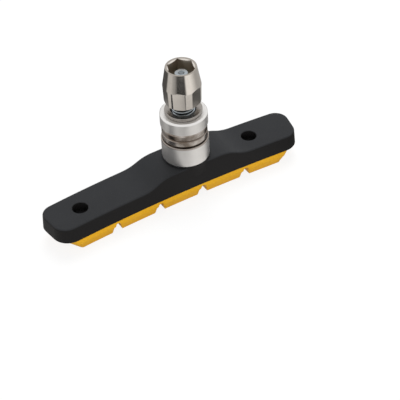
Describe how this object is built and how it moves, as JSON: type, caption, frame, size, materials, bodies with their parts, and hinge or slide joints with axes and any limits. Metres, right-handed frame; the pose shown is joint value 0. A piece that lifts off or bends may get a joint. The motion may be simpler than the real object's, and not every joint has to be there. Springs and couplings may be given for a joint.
{
  "type": "bicycle rim brake pad",
  "caption": "Curved rim brake pad with a grooved friction block on a moulded carrier, a threaded stud, ball washers for toe-in and a socket-head barrel nut.",
  "frame": {"origin": "where the stud's axis meets the plane of the friction face", "axes": "+Z along the stud, away from the rim; +X along the shoe towards its short end; -Y towards the wheel's axle"},
  "size_m": [0.0716, 0.0135, 0.0369],
  "materials": {
    "friction_compound": "matte mustard-yellow moulded rubber compound",
    "carrier_moulding": "fine-grained charcoal moulding",
    "blackened_steel": "black oxide",
    "zinc_plate": "bright bluish zinc plate",
    "satin_silver": "satin silver",
    "turned_steel": "turned and plated",
    "bright_plate": "bright nickel plate"
  },
  "bodies": {
    "shoe": {"friction_block": "friction_compound", "carrier": "carrier_moulding", "backing_plate": "blackened_steel", "stud": "zinc_plate", "inner_cup": "satin_silver"},
    "inner_dome": {"inner_dome": "turned_steel"},
    "outer_dome": {"outer_dome": "turned_steel"},
    "outer_cup": {"outer_cup": "satin_silver"},
    "flat_washer": {"flat_washer": "bright_plate"},
    "nut": {"nut": "bright_plate"}
  },
  "joints": [
    {"name": "toe_in", "type": "hinge", "parent": "shoe", "child": "inner_dome", "pos_m": [0, 0, 0.02286], "axis": [0, 1, 0], "range_deg": [-5, 5]},
    {"name": "jaw_travel", "type": "slide", "parent": "inner_dome", "child": "outer_dome", "axis": [0, 0, 1], "range_m": [0, 0.003]},
    {"name": "outer_cup_tilt", "type": "hinge", "parent": "outer_dome", "child": "outer_cup", "pos_m": [0, 0, 0.01309], "axis": [0, 1, 0], "range_deg": [-5, 5]},
    {"name": "nut_travel", "type": "slide", "parent": "shoe", "child": "flat_washer", "axis": [0, 0, 1], "range_m": [0, 0.003]},
    {"name": "nut_turn", "type": "hinge", "parent": "flat_washer", "child": "nut", "pos_m": [0, 0, 0.027], "axis": [0, 0, 1], "range_deg": [0, 1080]}
  ],
  "couplings": [
    {"joint": "outer_cup_tilt", "follows": "toe_in", "ratio": -1},
    {"joint": "jaw_travel", "follows": "nut_travel", "ratio": 1},
    {"joint": "nut_turn", "follows": "nut_travel", "rad_per_m": 6283.2}
  ]
}
